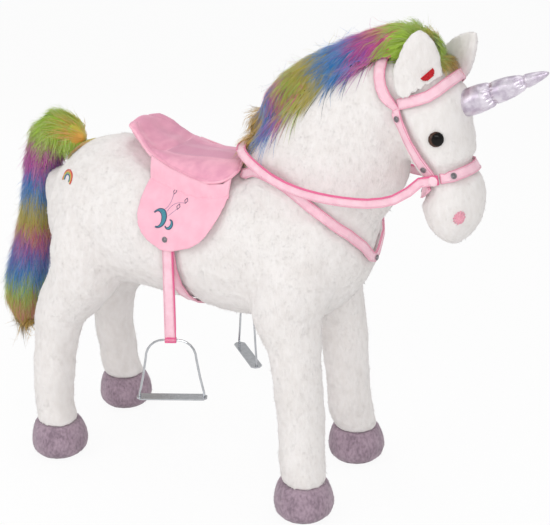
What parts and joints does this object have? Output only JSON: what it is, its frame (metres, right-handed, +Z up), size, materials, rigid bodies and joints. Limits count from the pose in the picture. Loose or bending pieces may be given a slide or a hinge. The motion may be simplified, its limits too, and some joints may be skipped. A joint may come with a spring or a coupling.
{
  "type": "plush ride-on animal",
  "caption": "Standing plush unicorn that a small child sits on, with padded saddle, stirrups, bridle, reins, breast strap and rainbow mane and tail on a steel frame.",
  "frame": {"origin": "on the floor under the animal, midway between the tail's end and the horn's tip, in the animal's plane of symmetry", "axes": "+X towards the head, +Y to the animal's left, +Z up"},
  "size_m": [1.2662, 0.4429, 1.0205],
  "materials": {
    "white_plush": "short soft pile",
    "mauve_plush": "short soft pile",
    "rainbow_hair": "long pile in bands of colour",
    "metallic_cloth": "metallic satin, gathered",
    "pink_velvet": "short velvet",
    "pink_webbing": "woven with a velvet face",
    "pink_felt": "stitched",
    "eye_plastic": "polished",
    "washer_plastic": "moulded",
    "boss_plastic": "satin",
    "rivet_metal": "nickel plated",
    "stirrup_steel": "plated rod",
    "frame_steel": "black paint",
    "plywood": "raw"
  },
  "bodies": {
    "body": {"trunk": "white_plush", "neck": "white_plush", "head": "white_plush", "leg_front_right": "white_plush", "leg_front_left": "white_plush", "leg_rear_right": "white_plush", "leg_rear_left": "white_plush", "hoof_front_right": "mauve_plush", "hoof_front_left": "mauve_plush", "hoof_rear_right": "mauve_plush", "hoof_rear_left": "mauve_plush", "ear_right": "white_plush", "ear_left": "white_plush", "horn": "metallic_cloth", "mane": "rainbow_hair", "forelock": "rainbow_hair", "eye_right": "eye_plastic", "eye_left": "eye_plastic", "eye_washer_right": "washer_plastic", "eye_washer_left": "washer_plastic", "nostril_right": "pink_felt", "nostril_left": "pink_felt", "crown_strap": "pink_webbing", "browband": "pink_webbing", "noseband": "pink_webbing", "chin_strap": "pink_webbing", "bridle_boss_right": "boss_plastic", "bridle_boss_left": "boss_plastic", "cheek_rivet_right": "rivet_metal", "cheek_rivet_left": "rivet_metal", "brow_rivet_right": "rivet_metal", "brow_rivet_left": "rivet_metal", "nose_rivet_right": "rivet_metal", "nose_rivet_left": "rivet_metal", "chin_rivet": "rivet_metal", "breast_strap": "pink_webbing", "breast_rivet": "rivet_metal", "girth": "pink_webbing", "saddle_seat": "pink_velvet", "leg_tube_front_right": "frame_steel", "leg_tube_front_left": "frame_steel", "leg_tube_rear_right": "frame_steel", "leg_tube_rear_left": "frame_steel", "cross_tube_front": "frame_steel", "cross_tube_rear": "frame_steel", "spine": "frame_steel", "neck_post": "frame_steel", "seat_board": "plywood"},
    "right_flap": {"flap_right": "pink_velvet", "flap_rivet_right": "rivet_metal"},
    "left_flap": {"flap_left": "pink_velvet", "flap_rivet_left": "rivet_metal"},
    "right_stirrup_strap": {"stirrup_strap_right": "pink_webbing"},
    "left_stirrup_strap": {"stirrup_strap_left": "pink_webbing"},
    "right_stirrup": {"stirrup_iron_right": "stirrup_steel", "stirrup_plate_right": "stirrup_steel"},
    "left_stirrup": {"stirrup_iron_left": "stirrup_steel", "stirrup_plate_left": "stirrup_steel"},
    "rein_loop": {"reins": "pink_webbing"},
    "tail_hair": {"tail": "rainbow_hair"}
  },
  "joints": [
    {"name": "flap_lift_right", "type": "hinge", "parent": "body", "child": "right_flap", "pos_m": [-0.05094, -0.10198, 0.68039], "axis": [-1, 0, 0], "range_deg": [0, 50]},
    {"name": "flap_lift_left", "type": "hinge", "parent": "body", "child": "left_flap", "pos_m": [-0.05094, 0.10198, 0.68039], "axis": [1, 0, 0], "range_deg": [0, 50]},
    {"name": "stirrup_swing_right", "type": "hinge", "parent": "right_flap", "child": "right_stirrup_strap", "pos_m": [-0.07123, -0.17298, 0.57595], "axis": [0, 1, 0], "range_deg": [-20, 25]},
    {"name": "stirrup_swing_left", "type": "hinge", "parent": "left_flap", "child": "left_stirrup_strap", "pos_m": [-0.07123, 0.17298, 0.57595], "axis": [0, 1, 0], "range_deg": [-20, 25]},
    {"name": "iron_swing_right", "type": "hinge", "parent": "right_stirrup_strap", "child": "right_stirrup", "pos_m": [-0.07123, -0.17298, 0.35095], "axis": [0.9063, 0.4226, 0], "range_deg": [-45, 45]},
    {"name": "iron_swing_left", "type": "hinge", "parent": "left_stirrup_strap", "child": "left_stirrup", "pos_m": [-0.07123, 0.17298, 0.30595], "axis": [0.7071, -0.7071, 0], "range_deg": [-45, 45]},
    {"name": "reins_lift", "type": "hinge", "parent": "body", "child": "rein_loop", "pos_m": [0.45401, 0, 0.74128], "axis": [0, 1, 0], "range_deg": [0, 30]},
    {"name": "tail_lift", "type": "hinge", "parent": "body", "child": "tail_hair", "pos_m": [-0.38156, 0, 0.70762], "axis": [0, 1, 0], "range_deg": [0, 45]}
  ]
}
